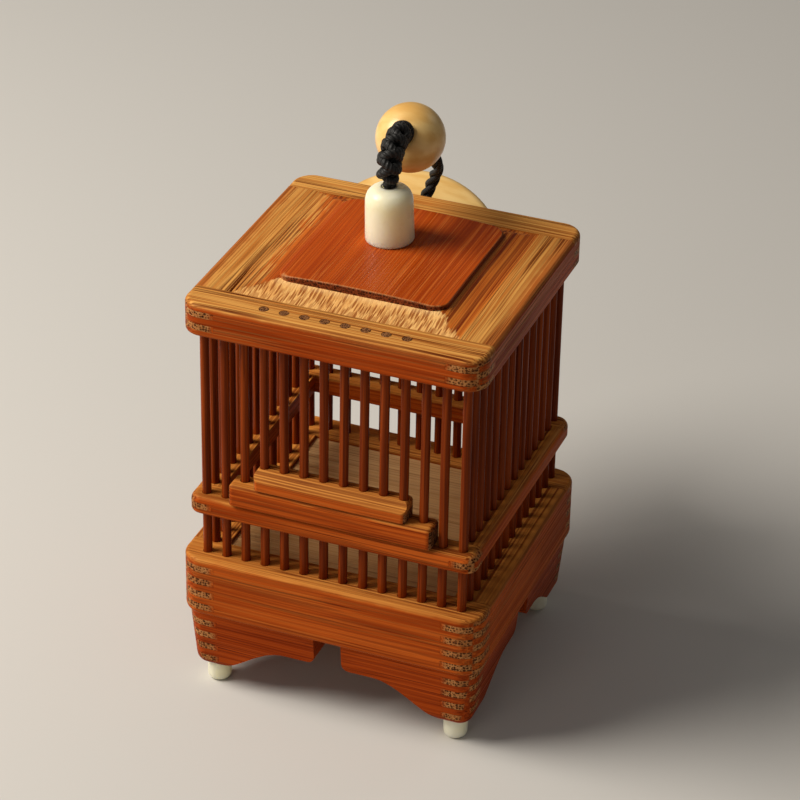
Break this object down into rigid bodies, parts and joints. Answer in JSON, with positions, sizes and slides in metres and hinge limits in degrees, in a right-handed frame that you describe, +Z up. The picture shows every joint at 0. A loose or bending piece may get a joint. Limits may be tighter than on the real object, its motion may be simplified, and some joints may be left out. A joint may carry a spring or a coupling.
{
  "type": "cricket cage",
  "caption": "Small square bamboo cricket cage with box-jointed frames, a barred front door that lifts, bone feet and finial, and a knotted hanging cord with a bead and a toggle.",
  "frame": {"origin": "middle of the footprint, on the plane under the feet", "axes": "+Z up, +X to the right of someone facing the door, +Y to the back; the door is on the -Y side"},
  "size_m": [0.0614, 0.0835, 0.1016],
  "materials": {
    "bamboo_rail": "oiled and hand polished, satin gloss",
    "bamboo_bar": "shaved round, aged red-brown, glossy",
    "bamboo_panel": "polished, deep orange-brown",
    "bamboo_floor": "planed, satin",
    "boxwood": "turned and polished",
    "bone": "polished ivory white",
    "cord": "black braided thread"
  },
  "bodies": {
    "cage": {"foot_front_left": "bone", "foot_front_right": "bone", "foot_back_left": "bone", "foot_back_right": "bone", "apron_front_left": "bamboo_rail", "apron_front_right": "bamboo_rail", "apron_back_left": "bamboo_rail", "apron_back_right": "bamboo_rail", "apron_left_front": "bamboo_rail", "apron_left_back": "bamboo_rail", "apron_right_front": "bamboo_rail", "apron_right_back": "bamboo_rail", "base_front": "bamboo_rail", "base_back": "bamboo_rail", "base_left": "bamboo_rail", "base_right": "bamboo_rail", "mid_rail_front": "bamboo_rail", "mid_rail_back": "bamboo_rail", "mid_rail_left": "bamboo_rail", "mid_rail_right": "bamboo_rail", "lid_rail_front": "bamboo_rail", "lid_rail_back": "bamboo_rail", "lid_rail_left": "bamboo_rail", "lid_rail_right": "bamboo_rail", "floor_board": "bamboo_floor", "corner_post_front_left": "bamboo_bar", "corner_post_front_right": "bamboo_bar", "corner_post_back_left": "bamboo_bar", "corner_post_back_right": "bamboo_bar", "front_bars_left": "bamboo_bar", "front_bars_right": "bamboo_bar", "front_bars_lower": "bamboo_bar", "left_bars": "bamboo_bar", "right_bars": "bamboo_bar", "back_bars": "bamboo_bar", "lid_panel": "bamboo_panel", "finial": "bone", "cord": "cord", "bead": "boxwood", "toggle": "boxwood", "stop_knot": "cord"},
    "door": {"door_guide_batten": "bamboo_rail", "door_top_batten": "bamboo_rail", "door_bars": "bamboo_bar"}
  },
  "joints": [
    {"name": "door_lift", "type": "slide", "parent": "cage", "child": "door", "axis": [0, 0, 1], "range_m": [0, 0.025]}
  ]
}
